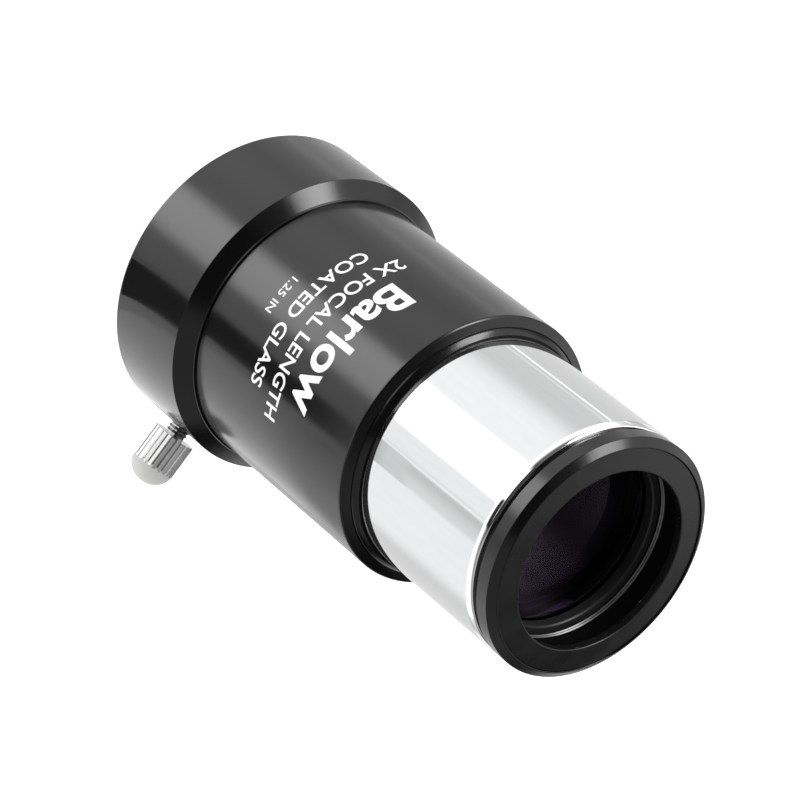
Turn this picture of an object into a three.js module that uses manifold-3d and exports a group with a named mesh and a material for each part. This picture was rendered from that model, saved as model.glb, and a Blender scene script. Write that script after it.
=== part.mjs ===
// A 1.25 inch, two-times barlow lens for a telescope.
//
// Millimetres, +Z up. The part stands on the flat rim of its eyepiece collar, with its optical
// axis vertical and its lens cell at the top. Heights are measured up from that rim, and radii
// from the optical axis. The origin is the middle of the bounding box's underside, so the
// thumbscrew, which stands out on the +X side, puts the optical axis a little to -X of it.

import * as THREE from 'three';
import { mergeVertices } from 'three/addons/utils/BufferGeometryUtils.js';
import Module from 'manifold-3d';

const wasm = await Module();
wasm.setup();

// ---- Driving dimensions ---------------------------------------------------------------

// Eyepiece collar: the wide black ring that takes a 1.25 inch (31.75 mm) eyepiece.
const COLLAR_RADIUS = 20.25;
const COLLAR_HEIGHT = 13.5;
const COLLAR_TOP = 15.35;
const COLLAR_BEVEL_RADIUS = 18.35;
const COLLAR_EDGE = 0.35;
const SOCKET_RADIUS = 15.9;
const SOCKET_CHAMFER = 0.8;
const COUNTERBORE_RADIUS = 17.2;
const COUNTERBORE_FLOOR = 8.6;

// Main barrel: its spigot sits in the collar's counterbore, and its shoulder on the collar.
const BARREL_RADIUS = 18.05;
const BARREL_TOP = 46.9;
const BARREL_EDGE = 0.3;
const SPIGOT_RADIUS = 17.1;
const SPIGOT_FOOT = 8.7;
const LIP_RADIUS = 16.2;
const LIP_FOOT_RADIUS = 16.7;
const LIP_TOP = 47.9;
const STOP_LEDGE = 36;
const STOP_LEDGE_TOP = 38;
const STOP_LEDGE_RADIUS = 14;
const BARREL_THREAD_RADIUS = 15.3;

// Glare stop: a sharp-edged ring clamped between the barrel's ledge and the nosepiece.
const GLARE_STOP_THICKNESS = 1;
const GLARE_STOP_RADIUS = 15.1;
const GLARE_STOP_HOLE = 11.5;
const GLARE_STOP_BEVEL = 0.8;
const GLARE_STOP_EDGE = 0.4;

// Nosepiece: the chromed 1.25 inch tube that slides into a focuser or a star diagonal.
const NOSE_RADIUS = 15.85;
const NOSE_NECK_RADIUS = 15.1;
const NOSE_BORE = 13.9;
const NOSE_BEVEL_FOOT = 69.15;
const NOSE_TOP = 69.75;
const NOSE_RIM_RADIUS = 15.3;
const FILTER_THREAD_RADIUS = 14.3;
const FILTER_THREAD_DEPTH = 4.75;

// Lens cell: screws into the nosepiece's filter thread (M28.5 x 0.6).
const CELL_RADIUS = 15.75;
const CELL_RIM_TOP = 72.6;
const CELL_TOP = 73.3;
const CELL_FACE_RADIUS = 14.78;
const CELL_SEAT_RADIUS = 14.65;
const CELL_SEAT = 72.2;
const CELL_BORE = 12.75;
const CELL_UNDERCUT_RADIUS = 15.2;
const CELL_UNDERCUT_TOP = 70.1;
const CELL_THREAD_RADIUS = 14.1;
const CELL_THREAD_FOOT = 65.5;
const CELL_BODY_RADIUS = 13.6;
const CELL_FOOT = 59.4;
const CELL_LEDGE = 60.85;
const CELL_LEDGE_RADIUS = 11.4;

// Front cap: the flat ring pressed into the cell's end, with the opening that light enters by.
const CAP_RADIUS = 14.6;
const CAP_HOLE = 11.7;
const CAP_HOLE_EDGE = 0.25;

// Negative achromat: a double-concave crown on the ledge, a spacer, and a flint on top.
const LENS_RADIUS = 12.6;
const LENS_SEAT_RADIUS = 11.6;
const CROWN_EDGE = 4.2;
const CROWN_HOLLOW = 1.5;
const SPACER_THICKNESS = 0.4;
const SPACER_HOLE = 11.7;
const INNER_SAG = 1.3;
const FLINT_EDGE = 1.2;
const FLINT_RISE = 0.8;

// Retaining ring: threaded into the cell's bore, with two slots for a spanner.
const RING_RADIUS = 12.7;
const RING_HOLE = 11.65;
const RING_THICKNESS = 1.4;
const RING_BEVEL = 0.2;
const SLOT_WIDTH = 1.2;
const SLOT_DEPTH = 0.7;

// Thumbscrew: M3, straight-knurled head with a domed end, radial on +X.
const SCREW_HEIGHT = 5.7;
const SCREW_GAP = 1.5;
const SCREW_RADIUS = 1.4;
const SCREW_HOLE_RADIUS = 1.65;
const HEAD_RADIUS = 2.93;
const HEAD_ROOT_RADIUS = 2.68;
const HEAD_LENGTH = 4.6;
const DOME_HEIGHT = 2.2;
const KNURL_FLUTES = 24;
const PAD_RADIUS = 1.2;
const PAD_THICKNESS = 0.8;
const PAD_CLEARANCE = 0.05;
const PAD_GAP = 0.25;

// Number of facets round the large rings, the lenses and the screw.
const RING_FACETS = 64;
const LENS_FACETS = 48;
const SCREW_FACETS = 24;
const LENS_STEPS = 5;

// ---- Dimensions that follow -------------------------------------------------------------

const CROWN_TOP = CELL_LEDGE + CROWN_EDGE;
const FLINT_FOOT = CROWN_TOP + SPACER_THICKNESS;
const FLINT_TOP = FLINT_FOOT + FLINT_EDGE;
const RING_TOP = FLINT_TOP + RING_THICKNESS;
const NOSE_FOOT = STOP_LEDGE_TOP + GLARE_STOP_THICKNESS;
const HEAD_FACE = COLLAR_RADIUS + SCREW_GAP;
const SCREW_END = HEAD_FACE + HEAD_LENGTH + DOME_HEIGHT;
const PAD_INNER = SOCKET_RADIUS + PAD_CLEARANCE;
const SHANK_END = PAD_INNER + PAD_THICKNESS + PAD_GAP;
const AXIS_X = (COLLAR_RADIUS - SCREW_END) / 2;

// ---- Finishes ---------------------------------------------------------------------------

function finish(color, roughness, metalness) {
  return new THREE.MeshStandardMaterial({ color, roughness, metalness });
}

const anodised = () => finish(0x141416, 0.38, 0.6);
const matteBlack = () => finish(0x0b0b0c, 0.7, 0.3);
const chrome = () => finish(0xe6e8ea, 0.1, 1);
const nickel = () => finish(0xd6d7d6, 0.25, 1);
const nylon = () => finish(0xe9e6dc, 0.6, 0);

function coatedGlass() {
  const glass = finish(0x8f86c8, 0.05, 0);
  glass.transparent = true;
  glass.opacity = 0.35;
  return glass;
}

// ---- Shape helpers ----------------------------------------------------------------------

/** A closed ring or disc turned about +Z from [radius, height] corners, outer wall going up. */
function turned(corners, facets, closed = true) {
  const outline = corners.map(([radius, height]) => new THREE.Vector2(radius, height));
  if (closed) outline.push(outline[0].clone());
  return new THREE.LatheGeometry(outline, facets).rotateX(Math.PI / 2);
}

/** The corners of a lens face from the axis out: its curve, then the flat seat at its edge. */
function lensFace(edgeHeight, sag) {
  const corners = [];
  for (let step = 0; step <= LENS_STEPS; step += 1) {
    const fraction = step / LENS_STEPS;
    corners.push([LENS_SEAT_RADIUS * fraction, edgeHeight + sag * (1 - fraction * fraction)]);
  }
  corners.push([LENS_RADIUS, edgeHeight]);
  return corners;
}

/** The same closed surface as a manifold-3d solid. */
function toSolid(geometry) {
  const bare = geometry.clone();
  bare.deleteAttribute('normal');
  bare.deleteAttribute('uv');
  const merged = mergeVertices(bare, 1e-4);
  return new wasm.Manifold(new wasm.Mesh({
    numProp: 3,
    vertProperties: new Float32Array(merged.attributes.position.array),
    triVerts: new Uint32Array(merged.index.array),
  }));
}

/** A manifold-3d solid as a three.js geometry again. */
function toGeometry(solid) {
  const { vertProperties, triVerts } = solid.getMesh();
  const geometry = new THREE.BufferGeometry();
  geometry.setAttribute('position', new THREE.BufferAttribute(vertProperties, 3));
  geometry.setIndex(new THREE.BufferAttribute(triVerts, 1));
  geometry.computeVertexNormals();
  return geometry;
}

function part(name, geometry, material) {
  const mesh = new THREE.Mesh(geometry, material);
  mesh.name = name;
  return mesh;
}

// ---- Sub-parts --------------------------------------------------------------------------

function eyepieceCollar() {
  const ring = turned([
    [SOCKET_RADIUS + SOCKET_CHAMFER, 0],
    [COLLAR_RADIUS - COLLAR_EDGE, 0],
    [COLLAR_RADIUS, COLLAR_EDGE],
    [COLLAR_RADIUS, COLLAR_HEIGHT],
    [COLLAR_BEVEL_RADIUS, COLLAR_TOP],
    [COUNTERBORE_RADIUS, COLLAR_TOP],
    [COUNTERBORE_RADIUS, COUNTERBORE_FLOOR],
    [SOCKET_RADIUS, COUNTERBORE_FLOOR],
    [SOCKET_RADIUS, SOCKET_CHAMFER],
  ], RING_FACETS);
  const drill = new THREE.CylinderGeometry(
    SCREW_HOLE_RADIUS, SCREW_HOLE_RADIUS, COLLAR_RADIUS, SCREW_FACETS);
  drill.rotateZ(Math.PI / 2).translate(COLLAR_RADIUS, 0, SCREW_HEIGHT);
  const drilled = toSolid(ring).subtract(toSolid(drill));
  return part('eyepiece_collar', toGeometry(drilled), anodised());
}

function mainBarrel() {
  const shell = turned([
    [SOCKET_RADIUS, SPIGOT_FOOT],
    [SPIGOT_RADIUS, SPIGOT_FOOT],
    [SPIGOT_RADIUS, COLLAR_TOP],
    [BARREL_RADIUS, COLLAR_TOP],
    [BARREL_RADIUS, BARREL_TOP - BARREL_EDGE],
    [BARREL_RADIUS - BARREL_EDGE, BARREL_TOP],
    [LIP_FOOT_RADIUS, BARREL_TOP],
    [LIP_RADIUS, LIP_TOP],
    [BARREL_THREAD_RADIUS, LIP_TOP],
    [BARREL_THREAD_RADIUS, STOP_LEDGE_TOP],
    [STOP_LEDGE_RADIUS, STOP_LEDGE_TOP],
    [STOP_LEDGE_RADIUS, STOP_LEDGE],
    [SOCKET_RADIUS, STOP_LEDGE],
  ], RING_FACETS);
  return part('main_barrel', shell, anodised());
}

function glareStop() {
  const ring = turned([
    [GLARE_STOP_HOLE, STOP_LEDGE_TOP],
    [GLARE_STOP_RADIUS, STOP_LEDGE_TOP],
    [GLARE_STOP_RADIUS, NOSE_FOOT],
    [GLARE_STOP_HOLE + GLARE_STOP_BEVEL, NOSE_FOOT],
    [GLARE_STOP_HOLE, STOP_LEDGE_TOP + GLARE_STOP_EDGE],
  ], RING_FACETS);
  return part('glare_stop', ring, matteBlack());
}

function nosepiece() {
  const threadFoot = NOSE_TOP - FILTER_THREAD_DEPTH;
  const tube = turned([
    [NOSE_BORE, NOSE_FOOT],
    [NOSE_NECK_RADIUS, NOSE_FOOT],
    [NOSE_NECK_RADIUS, LIP_TOP],
    [NOSE_RADIUS, LIP_TOP],
    [NOSE_RADIUS, NOSE_BEVEL_FOOT],
    [NOSE_RIM_RADIUS, NOSE_TOP],
    [FILTER_THREAD_RADIUS, NOSE_TOP],
    [FILTER_THREAD_RADIUS, threadFoot],
    [NOSE_BORE, threadFoot],
  ], RING_FACETS);
  return part('nosepiece', tube, chrome());
}

function lensCell() {
  const ring = turned([
    [CELL_LEDGE_RADIUS, CELL_FOOT],
    [CELL_BODY_RADIUS, CELL_FOOT],
    [CELL_BODY_RADIUS, CELL_THREAD_FOOT],
    [CELL_THREAD_RADIUS, CELL_THREAD_FOOT],
    [CELL_THREAD_RADIUS, NOSE_TOP],
    [CELL_UNDERCUT_RADIUS, NOSE_TOP],
    [CELL_RADIUS, CELL_UNDERCUT_TOP],
    [CELL_RADIUS, CELL_RIM_TOP],
    [CELL_FACE_RADIUS, CELL_TOP],
    [CELL_SEAT_RADIUS, CELL_TOP],
    [CELL_SEAT_RADIUS, CELL_SEAT],
    [CELL_BORE, CELL_SEAT],
    [CELL_BORE, CELL_LEDGE],
    [CELL_LEDGE_RADIUS, CELL_LEDGE],
  ], RING_FACETS);
  return part('lens_cell', ring, anodised());
}

function frontCap() {
  const ring = turned([
    [CAP_HOLE, CELL_SEAT],
    [CAP_RADIUS, CELL_SEAT],
    [CAP_RADIUS, CELL_TOP],
    [CAP_HOLE + CAP_HOLE_EDGE, CELL_TOP],
    [CAP_HOLE, CELL_TOP - CAP_HOLE_EDGE],
  ], RING_FACETS);
  return part('front_cap', ring, matteBlack());
}

/** A lens between two curved faces: the lower one outwards, then the upper one back in. */
function lens(name, foot, footSag, top, topSag) {
  const lower = lensFace(foot, footSag);
  const upper = lensFace(top, topSag).reverse();
  return part(name, turned([...lower, ...upper], LENS_FACETS, false), coatedGlass());
}

function crownLens() {
  return lens('crown_lens', CELL_LEDGE, CROWN_HOLLOW, CROWN_TOP, -INNER_SAG);
}

function flintLens() {
  return lens('flint_lens', FLINT_FOOT, -INNER_SAG, FLINT_TOP, FLINT_RISE);
}

function lensSpacer() {
  const ring = turned([
    [SPACER_HOLE, CROWN_TOP],
    [LENS_RADIUS, CROWN_TOP],
    [LENS_RADIUS, FLINT_FOOT],
    [SPACER_HOLE, FLINT_FOOT],
  ], LENS_FACETS);
  return part('lens_spacer', ring, matteBlack());
}

function retainingRing() {
  const ring = turned([
    [RING_HOLE, FLINT_TOP],
    [RING_RADIUS, FLINT_TOP],
    [RING_RADIUS, RING_TOP],
    [RING_HOLE + RING_BEVEL, RING_TOP],
    [RING_HOLE, RING_TOP - RING_BEVEL],
  ], RING_FACETS);
  const slot = new THREE.BoxGeometry(3 * RING_RADIUS, SLOT_WIDTH, 2 * SLOT_DEPTH);
  slot.translate(0, 0, RING_TOP);
  const slotted = toSolid(ring).subtract(toSolid(slot));
  return part('retaining_ring', toGeometry(slotted), anodised());
}

/** The outline of the knurled head: a crest and a root for each flute. */
function knurlOutline() {
  const outline = new THREE.Shape();
  const corners = KNURL_FLUTES * 2;
  for (let corner = 0; corner < corners; corner += 1) {
    const angle = (corner / corners) * 2 * Math.PI;
    const radius = corner % 2 === 0 ? HEAD_RADIUS : HEAD_ROOT_RADIUS;
    const x = radius * Math.cos(angle);
    const y = radius * Math.sin(angle);
    if (corner === 0) outline.moveTo(x, y);
    else outline.lineTo(x, y);
  }
  outline.closePath();
  return outline;
}

/** The thumbscrew along its own +Z, with z = 0 on the optical axis. */
function thumbscrew() {
  const knurl = new THREE.ExtrudeGeometry(knurlOutline(), {
    depth: HEAD_LENGTH, bevelEnabled: false, steps: 1 });
  knurl.translate(0, 0, HEAD_FACE);
  const domeFoot = HEAD_FACE + HEAD_LENGTH;
  const overlap = 0.5;
  const domeSteps = 5;
  const domeOutline = [[0, domeFoot - overlap], [HEAD_ROOT_RADIUS, domeFoot - overlap]];
  for (let step = 0; step <= domeSteps; step += 1) {
    const angle = (step / domeSteps) * (Math.PI / 2);
    const radius = step === domeSteps ? 0 : HEAD_ROOT_RADIUS * Math.cos(angle);
    domeOutline.push([radius, domeFoot + DOME_HEIGHT * Math.sin(angle)]);
  }
  const dome = turned(domeOutline, SCREW_FACETS, false);
  const shank = turned([
    [0, SHANK_END],
    [SCREW_RADIUS, SHANK_END],
    [SCREW_RADIUS, HEAD_FACE + overlap],
    [0, HEAD_FACE + overlap],
  ], SCREW_FACETS, false);
  const solid = toSolid(knurl).add(toSolid(dome)).add(toSolid(shank));
  return part('thumbscrew', toGeometry(solid), nickel());
}

/** The soft pad that the thumbscrew pushes against an eyepiece, along its own +Z. */
function clampPad() {
  const pad = turned([
    [0, PAD_INNER],
    [PAD_RADIUS, PAD_INNER],
    [PAD_RADIUS, PAD_INNER + PAD_THICKNESS],
    [0, PAD_INNER + PAD_THICKNESS],
  ], SCREW_FACETS, false);
  return part('clamp_pad', pad, nylon());
}

// ---- Assembly ---------------------------------------------------------------------------

const opticalTrain = new THREE.Group();
opticalTrain.add(
  eyepieceCollar(), mainBarrel(), glareStop(), nosepiece(), lensCell(), frontCap(),
  crownLens(), lensSpacer(), flintLens(), retainingRing());

const clamp = new THREE.Group();
clamp.rotation.y = Math.PI / 2;
clamp.position.z = SCREW_HEIGHT;
clamp.add(thumbscrew(), clampPad());

const group = new THREE.Group();
group.position.x = AXIS_X;
group.add(opticalTrain, clamp);

export default group;
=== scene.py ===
"""A short 1.25 inch, two-times barlow lens for a telescope.

Metres, +Z up. The lens stands on the rim of its eyepiece collar, with the optical axis vertical
and the lens cell at the top. Every turned piece is made about the optical axis, from sizes that
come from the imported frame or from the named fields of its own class.
"""

import logging
import math
from collections.abc import Callable
from dataclasses import dataclass, field
from enum import Enum

import bpy
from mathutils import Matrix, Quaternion, Vector


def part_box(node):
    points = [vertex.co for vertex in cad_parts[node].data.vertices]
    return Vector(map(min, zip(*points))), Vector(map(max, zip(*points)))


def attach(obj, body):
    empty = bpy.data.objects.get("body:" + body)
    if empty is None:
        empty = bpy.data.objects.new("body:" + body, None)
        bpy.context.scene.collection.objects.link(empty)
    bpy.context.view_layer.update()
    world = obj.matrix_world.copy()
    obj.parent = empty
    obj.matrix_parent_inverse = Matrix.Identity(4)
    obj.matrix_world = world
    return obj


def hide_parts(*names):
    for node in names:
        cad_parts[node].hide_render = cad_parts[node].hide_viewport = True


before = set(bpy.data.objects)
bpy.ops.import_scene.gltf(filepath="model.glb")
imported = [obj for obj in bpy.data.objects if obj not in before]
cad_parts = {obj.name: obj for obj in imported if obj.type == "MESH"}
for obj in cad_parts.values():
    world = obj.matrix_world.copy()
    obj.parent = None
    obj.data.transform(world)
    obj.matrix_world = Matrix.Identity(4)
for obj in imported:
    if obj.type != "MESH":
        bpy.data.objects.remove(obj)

LOG = logging.getLogger("barlow_lens")
MM = 0.001
CAP_SHARE = 0.69  # A capital's height over the font's size.
NOISE_LOW, NOISE_HIGH = 0.3, 0.7  # Where most of a noise's values lie.
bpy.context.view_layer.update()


class Slot(str, Enum):
    """The record's material slots."""

    ANODISED = "black_anodised"
    MATT = "matt_black"
    SATIN = "satin_black"
    CHROME = "chrome_plate"
    NICKEL = "nickel_plate"
    GLASS = "coated_glass"
    NYLON = "nylon"


class Body(str, Enum):
    """The bodies that move apart from each other."""

    BARREL = "barrel"
    LENSES = "lens_stack"
    CELL = "cell"
    PAD = "pad"
    SCREW = "screw"


class ThreadSide(Enum):
    """Which way the crest of a thread points from its cylinder."""

    OUTSIDE = 1
    INSIDE = -1


@dataclass(frozen=True)
class Span:
    """The foot, top and radius of a round node that stands on the optical axis."""

    foot: float
    top: float
    radius: float

    @classmethod
    def of(cls, node: str) -> "Span":
        """Reads a node's span from the frame.

        Args:
            node: The node's name.

        Returns:
            Its lowest and highest Z, and its radius across Y.
        """
        low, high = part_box(node)
        return cls(low[2], high[2], (high[1] - low[1]) / 2)


def axis_x() -> float:
    """Returns the optical axis's X, the middle of the main barrel."""
    low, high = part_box("main_barrel")
    return (low[0] + high[0]) / 2


# ---- Finishes ---------------------------------------------------------------------------


class Shader:
    """A material's node tree, with short calls for the nodes that the finishes share."""

    def __init__(self, name: str) -> None:
        """Starts a material with a Principled shader on its output.

        Args:
            name: The material's name.
        """
        self.material = bpy.data.materials.new(name)
        self.material.use_nodes = True
        self.tree = self.material.node_tree
        self.tree.nodes.clear()
        self.output = self.tree.nodes.new("ShaderNodeOutputMaterial")
        self.surface = self.tree.nodes.new("ShaderNodeBsdfPrincipled")
        self.link(self.surface.outputs["BSDF"], self.output.inputs["Surface"])

    def link(self, source: bpy.types.NodeSocket, target: bpy.types.NodeSocket) -> None:
        """Joins two sockets."""
        self.tree.links.new(source, target)

    def set(self, **values: object) -> None:
        """Sets the shader's own sockets.

        Args:
            values: Socket names, with underscores for spaces, and their values.
        """
        for name, value in values.items():
            self.surface.inputs[name.replace("_", " ")].default_value = value

    def node(self, kind: str, *sources: object, **settings: object) -> bpy.types.Node:
        """Adds a node.

        Args:
            kind: The node's type, without its ShaderNode prefix.
            sources: What goes into its inputs, in order: a socket, a value or None.
            settings: The node's own properties.

        Returns:
            The node.
        """
        made = self.tree.nodes.new("ShaderNode" + kind)
        for name, value in settings.items():
            setattr(made, name, value)
        for socket, source in zip(made.inputs, sources):
            if isinstance(source, bpy.types.NodeSocket):
                self.link(source, socket)
            elif source is not None:
                socket.default_value = source
        return made

    def math(self, operation: str, *sources: object) -> bpy.types.NodeSocket:
        """Returns the result of a Math node."""
        return self.node("Math", *sources, operation=operation).outputs[0]

    def centred(self, centre: tuple[float, float, float]) -> bpy.types.NodeSocket:
        """Returns Object coordinates measured from a centre."""
        place = self.node("TexCoord").outputs["Object"]
        return self.node("VectorMath", place, centre, operation="SUBTRACT").outputs[0]

    def noise(self, vector: bpy.types.NodeSocket, scale: float, detail: float = 2.0,
              rough: float = 0.5) -> bpy.types.NodeSocket:
        """Returns a noise value between 0 and 1.

        Args:
            vector: Where the noise is read.
            scale: Its frequency.
            detail: Its number of octaves.
            rough: How strong the fine octaves are.

        Returns:
            The value's socket.
        """
        made = self.node("TexNoise")
        self.link(vector, made.inputs["Vector"])
        made.inputs["Scale"].default_value = scale
        made.inputs["Detail"].default_value = detail
        made.inputs["Roughness"].default_value = rough
        return made.outputs["Fac"]

    def remap(self, value: bpy.types.NodeSocket, low: float, high: float,
              to_low: float, to_high: float) -> bpy.types.NodeSocket:
        """Returns a value mapped from one range to another, held at its ends."""
        return self.node("MapRange", value, low, high, to_low, to_high).outputs[0]

    def blend(self, share: bpy.types.NodeSocket, first: tuple, second: tuple) -> bpy.types.NodeSocket:
        """Mixes two colours.

        Args:
            share: The second colour's share.
            first: The first colour, with its alpha.
            second: The second colour, with its alpha.

        Returns:
            The mixed colour's socket.
        """
        made = self.node("Mix", data_type="RGBA")
        self.link(share, made.inputs["Factor"])
        made.inputs[6].default_value = first
        made.inputs[7].default_value = second
        return made.outputs[2]

    def bump(self, height: bpy.types.NodeSocket, distance: float, strength: float = 1.0,
             under: bpy.types.NodeSocket | None = None) -> bpy.types.NodeSocket:
        """Returns a normal bent by a height.

        Args:
            height: The height's socket, 0 to 1.
            distance: The real height of 1, in metres.
            strength: The share of the effect.
            under: A normal that this one is laid on.

        Returns:
            The normal's socket.
        """
        made = self.node("Bump")
        made.inputs["Strength"].default_value = strength
        made.inputs["Distance"].default_value = distance
        self.link(height, made.inputs["Height"])
        if under is not None:
            self.link(under, made.inputs["Normal"])
        return made.outputs["Normal"]


def toned(colour: tuple[float, float, float], factor: float) -> tuple[float, ...]:
    """Returns a colour made lighter or darker, with its alpha."""
    return tuple(channel * factor for channel in colour) + (1.0,)


@dataclass(frozen=True)
class TurnedFinish:
    """A metal surface finished on a lathe, with ring marks and faint lengthways streaks."""

    name: str
    colour: tuple[float, float, float]
    metallic: float
    roughness: float
    roughness_swing: float
    ring_pitch: float = 0.16 * MM
    ring_depth: float = 0.0006 * MM
    streaks: float = 26.0
    streak_drift: float = 6.0
    streak_depth: float = 0.004 * MM
    hairlines: float = 150.0
    hairline_depth: float = 0.0009 * MM
    streak_shade: float = 0.12
    specular: float = 0.5
    cloud: float = 5 * MM
    axis: tuple[float, float, float] = field(default_factory=lambda: (axis_x(), 0.0, 0.0))

    def material(self) -> bpy.types.Material:
        """Builds the finish.

        Returns:
            The material.
        """
        shader = Shader(self.name)
        centred = shader.centred(self.axis)
        split = shader.node("SeparateXYZ", centred)
        across = shader.node("CombineXYZ", split.outputs[0], split.outputs[1], 0.0).outputs[0]
        radius = shader.node("VectorMath", across, operation="LENGTH").outputs["Value"]
        around = shader.node("VectorMath", across, operation="NORMALIZE").outputs[0]

        rings = shader.node("CombineXYZ", radius, 0.0, split.outputs[2]).outputs[0]
        ring_marks = shader.noise(rings, 1 / self.ring_pitch, 3.0, 0.6)
        drift = shader.node("VectorMath", centred, (0.0, 0.0, self.streak_drift),
                            operation="MULTIPLY").outputs[0]
        streak_place = shader.node("VectorMath", around, drift, operation="ADD").outputs[0]
        streak_marks = shader.noise(streak_place, self.streaks, 3.0, 0.55)
        cloud = shader.noise(centred, 1 / self.cloud, 3.0, 0.5)

        worn = shader.math("ADD", shader.math("MULTIPLY", ring_marks, 0.5),
                           shader.math("MULTIPLY", cloud, 0.5))
        rough = shader.remap(worn, NOISE_LOW, NOISE_HIGH, self.roughness - self.roughness_swing,
                             self.roughness + self.roughness_swing)
        shader.link(rough, shader.surface.inputs["Roughness"])

        dark = toned(self.colour, 1 - self.streak_shade)
        light = toned(self.colour, 1 + self.streak_shade)
        share = shader.remap(streak_marks, NOISE_LOW, NOISE_HIGH, 0.0, 1.0)
        shade = shader.blend(share, dark, light)
        shader.link(shade, shader.surface.inputs["Base Color"])

        hairs = shader.noise(streak_place, self.hairlines, 2.0, 0.6)
        turned = shader.bump(ring_marks, self.ring_depth)
        streaked = shader.bump(streak_marks, self.streak_depth, under=turned)
        haired = shader.bump(hairs, self.hairline_depth, under=streaked)
        shader.link(haired, shader.surface.inputs["Normal"])
        shader.set(Metallic=self.metallic, Specular_IOR_Level=self.specular)
        return shader.material


@dataclass(frozen=True)
class GrainFinish:
    """A blasted, painted or moulded surface with an even fine grain."""

    name: str
    colour: tuple[float, float, float]
    metallic: float
    roughness: float
    grain: float = 0.12 * MM
    grain_depth: float = 0.003 * MM
    shade: float = 0.15
    roughness_swing: float = 0.05
    cloud: float = 3 * MM

    def material(self) -> bpy.types.Material:
        """Builds the finish.

        Returns:
            The material.
        """
        shader = Shader(self.name)
        place = shader.node("TexCoord").outputs["Object"]
        fine = shader.noise(place, 1 / self.grain, 3.0, 0.6)
        cloud = shader.noise(place, 1 / self.cloud, 3.0, 0.5)
        dark = toned(self.colour, 1 - self.shade)
        light = toned(self.colour, 1 + self.shade)
        mixed = shader.math("ADD", shader.math("MULTIPLY", fine, 0.6),
                            shader.math("MULTIPLY", cloud, 0.4))
        share = shader.remap(mixed, NOISE_LOW, NOISE_HIGH, 0.0, 1.0)
        shade = shader.blend(share, dark, light)
        shader.link(shade, shader.surface.inputs["Base Color"])
        rough = shader.remap(cloud, NOISE_LOW, NOISE_HIGH, self.roughness - self.roughness_swing,
                             self.roughness + self.roughness_swing)
        shader.link(rough, shader.surface.inputs["Roughness"])
        shader.link(shader.bump(fine, self.grain_depth), shader.surface.inputs["Normal"])
        shader.set(Metallic=self.metallic)
        return shader.material


@dataclass(frozen=True)
class CoatedGlass:
    """Polished optical glass with a purple anti-reflection coating."""

    name: str
    tint: tuple[float, float, float] = (0.9, 0.87, 0.95)
    glint: tuple[float, float, float] = (0.3, 0.1, 0.44)
    ior: float = 1.2
    gloss: float = 0.3
    dust: float = 0.35 * MM
    haze: float = 0.02

    def material(self) -> bpy.types.Material:
        """Builds the glass.

        Returns:
            The material.
        """
        shader = Shader(self.name)
        place = shader.node("TexCoord").outputs["Object"]
        dust = shader.noise(place, 1 / self.dust, 2.0, 0.6)
        haze = shader.remap(dust, 0.6, 0.8, 0.0, self.haze)
        shader.link(haze, shader.surface.inputs["Roughness"])
        shader.set(Base_Color=self.tint + (1.0,), Transmission_Weight=1.0, IOR=self.ior)
        shader.set(Specular_Tint=self.glint + (1.0,), Specular_IOR_Level=self.gloss)
        return shader.material


Finish = TurnedFinish | GrainFinish | CoatedGlass

ANODISED = TurnedFinish("black_anodised", (0.0016, 0.0016, 0.0017), 0.0, 0.17, 0.03)
BORE_BLACK = TurnedFinish("bore_black", (0.002, 0.002, 0.0022), 0.0, 0.5, 0.05, specular=0.12)
# A brighter copy of the chrome for the tube's bevel and end face: painted highlight.
CHROME_PAINTED_HIGHLIGHT = TurnedFinish("chrome_painted_highlight", (0.97, 0.97, 0.97), 1.0, 0.08, 0.02,
                           ring_depth=0.0001 * MM, streak_depth=0.0007 * MM, streak_shade=0.01,
                           hairline_depth=0.00005 * MM)
CHROME = TurnedFinish("chrome_plate", (0.69, 0.695, 0.7), 1.0, 0.055, 0.02,
                      ring_depth=0.0001 * MM, streak_depth=0.0007 * MM, streak_shade=0.015,
                      hairline_depth=0.00005 * MM)
NICKEL = GrainFinish("nickel_plate", (0.86, 0.86, 0.85), 0.72, 0.22, grain_depth=0.0005 * MM,
                     shade=0.04)
# A dark copy of the nickel for the knurl's flute roots: painted shade in the grooves.
NICKEL_ROOT_PAINTED_SHADE = GrainFinish("nickel_root_painted_shade", (0.16, 0.16, 0.16), 0.6, 0.4, grain_depth=0.001 * MM)
# A darker copy of the nickel for the screw's shank and thread: painted shade.
NICKEL_THREAD_PAINTED_SHADE = GrainFinish("nickel_thread_painted_shade", (0.42, 0.42, 0.42), 1.0, 0.16,
                            grain_depth=0.001 * MM, shade=0.06)
NICKEL_SATIN = GrainFinish("nickel_satin", (0.53, 0.53, 0.52), 0.0, 0.5, grain_depth=0.003 * MM,
                           shade=0.06)
SATIN_BLACK = GrainFinish("satin_black", (0.0062, 0.0064, 0.0066), 0.0, 0.3, grain=0.2 * MM,
                          grain_depth=0.012 * MM, shade=0.4)
MATT_BLACK = GrainFinish("matt_black", (0.004, 0.004, 0.004), 0.0, 0.75)
RING_BLACK = TurnedFinish("ring_satin", (0.02, 0.02, 0.021), 0.3, 0.3, 0.05, specular=0.3)
# A lighter grey metal finish on the cell's black inner thread, so that its turns show as bright
# lines: painted highlight.
THREAD_PAINTED_HIGHLIGHT = TurnedFinish("thread_painted_highlight", (0.15, 0.15, 0.155), 0.6, 0.3, 0.05)
PRINT_WHITE = GrainFinish("print_white", (0.86, 0.86, 0.85), 0.0, 0.5, grain=0.3 * MM,
                          grain_depth=0.001 * MM, shade=0.03)
NYLON = GrainFinish("nylon", (0.72, 0.7, 0.63), 0.0, 0.55)
GLASS = CoatedGlass("coated_glass")


# ---- Workshop ---------------------------------------------------------------------------


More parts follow.
